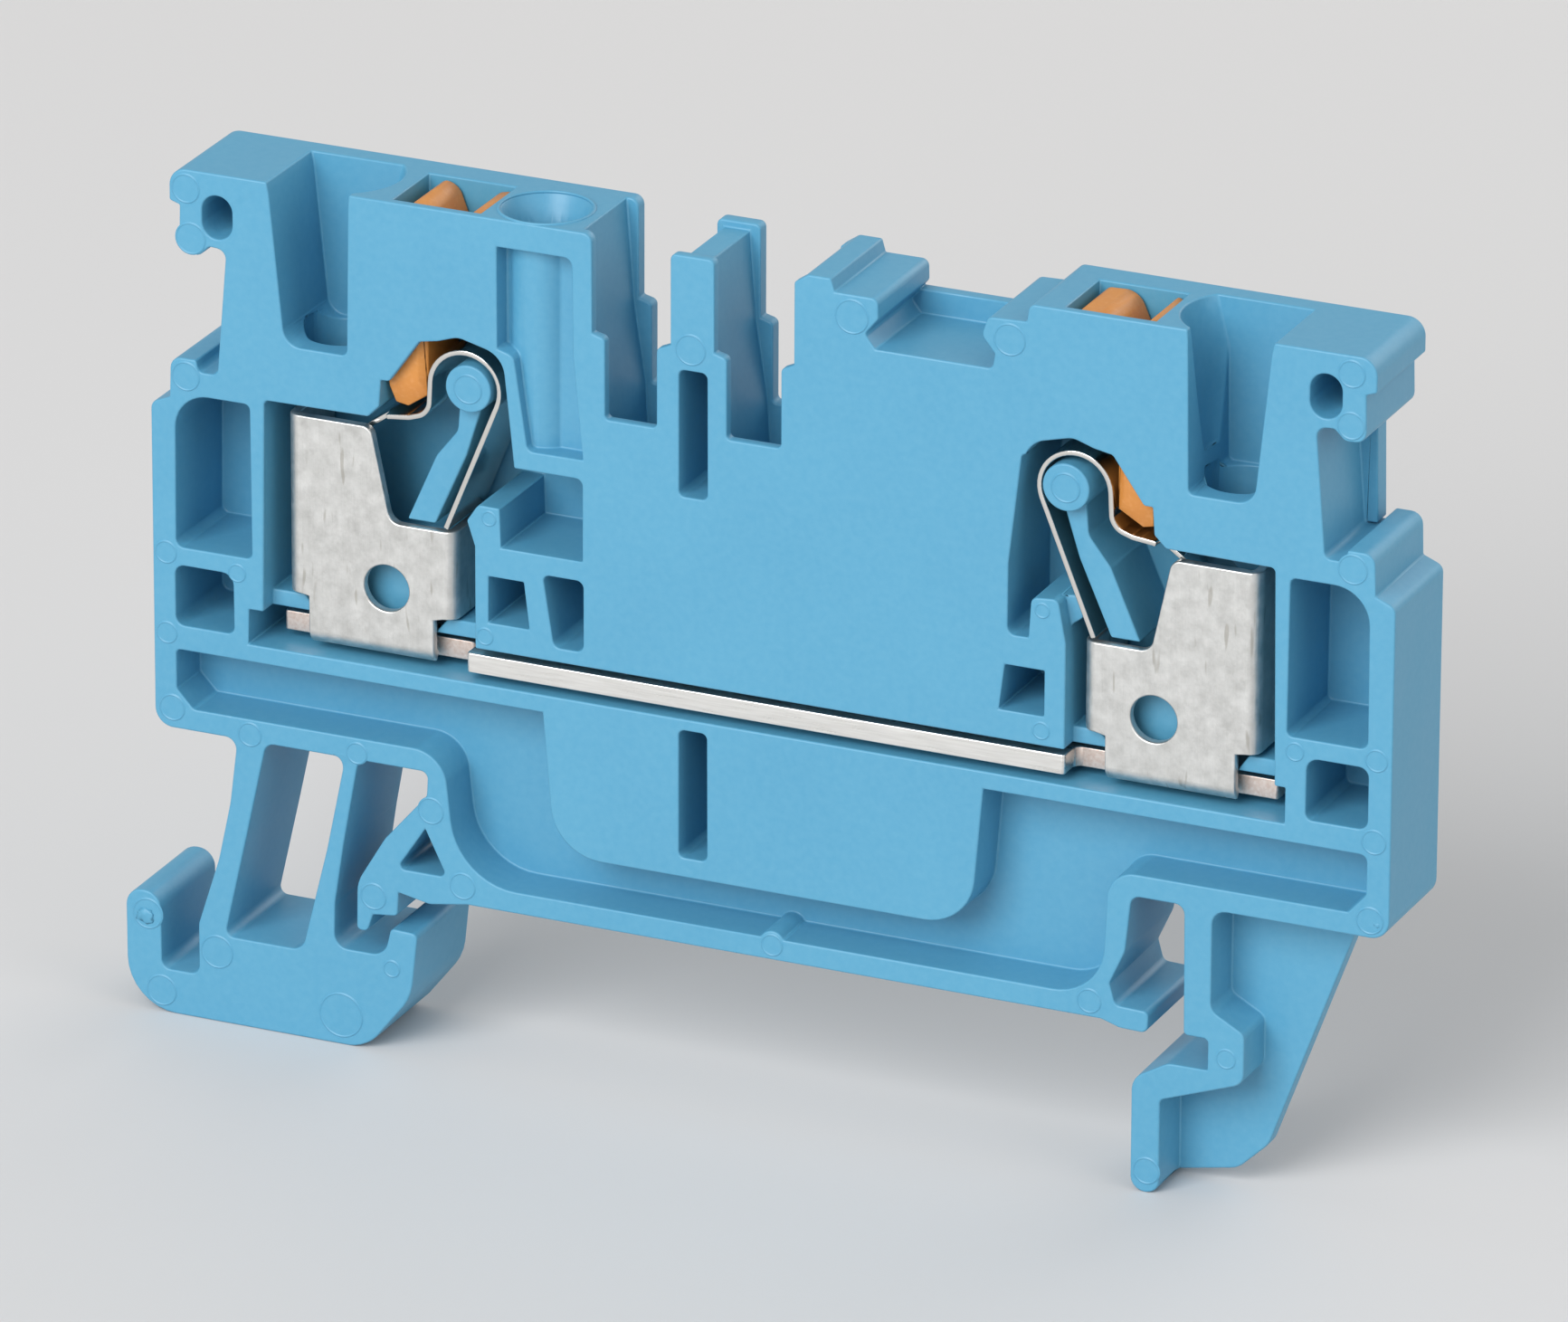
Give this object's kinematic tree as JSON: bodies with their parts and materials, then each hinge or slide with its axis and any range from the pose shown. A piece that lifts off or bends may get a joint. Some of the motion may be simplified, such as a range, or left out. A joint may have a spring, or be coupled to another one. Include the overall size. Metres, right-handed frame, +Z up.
{
  "type": "din rail terminal block",
  "caption": "One-pole feed-through terminal block with push-in spring clamps, orange pushers and a flexing foot for 35 mm rail.",
  "frame": {"origin": "middle of the rail seat: halfway between the two rail notches, at mid-width, on the face that rests on the rail", "axes": "+X along the block from the flexing foot to the fixed foot, +Y from the open side to the closed side, +Z up off the rail"},
  "size_m": [0.0555, 0.0052, 0.0369],
  "materials": {
    "housing": "satin blue polyamide 66",
    "pusher": "satin orange polyamide",
    "cage": "stamped stainless sheet with fine scratches",
    "spring": "bright rolled spring steel strip",
    "busbar": "bright tin plate on copper"
  },
  "bodies": {
    "housing": {"housing": "housing", "busbar": "busbar", "left_cage": "cage", "right_cage": "cage", "left_spring_leg": "spring", "right_spring_leg": "spring", "foot_outer_leg": "housing", "foot_inner_leg": "housing"},
    "left_pusher": {"left_pusher": "pusher"},
    "right_pusher": {"right_pusher": "pusher"},
    "left_clamp_arm": {"left_clamp_arm": "spring"},
    "right_clamp_arm": {"right_clamp_arm": "spring"},
    "rail_foot": {"rail_foot": "housing"}
  },
  "joints": [
    {"name": "left_pusher_slide", "type": "slide", "parent": "housing", "child": "left_pusher", "axis": [0, 0, -1], "range_m": [0, 0.0011], "stiffness_N_per_m": 600, "springref_m": -0.0004},
    {"name": "right_pusher_slide", "type": "slide", "parent": "housing", "child": "right_pusher", "axis": [0, 0, -1], "range_m": [0, 0.0011], "stiffness_N_per_m": 600, "springref_m": -0.0004},
    {"name": "left_arm_hinge", "type": "hinge", "parent": "housing", "child": "left_clamp_arm", "pos_m": [-0.0146, 0, 0.02225], "axis": [0, -1, 0], "range_deg": [0, 20]},
    {"name": "right_arm_hinge", "type": "hinge", "parent": "housing", "child": "right_clamp_arm", "pos_m": [0.0113, 0, 0.02225], "axis": [0, 1, 0], "range_deg": [0, 20]},
    {"name": "rail_foot_slide", "type": "slide", "parent": "housing", "child": "rail_foot", "axis": [-0.9864, 0, 0.1644], "range_m": [0, 0.00075], "stiffness_N_per_m": 4000, "deforming": ["foot_outer_leg", "foot_inner_leg"]}
  ],
  "couplings": [
    {"joint": "left_arm_hinge", "follows": "left_pusher_slide", "rad_per_m": 317.33},
    {"joint": "right_arm_hinge", "follows": "right_pusher_slide", "rad_per_m": 317.33}
  ]
}
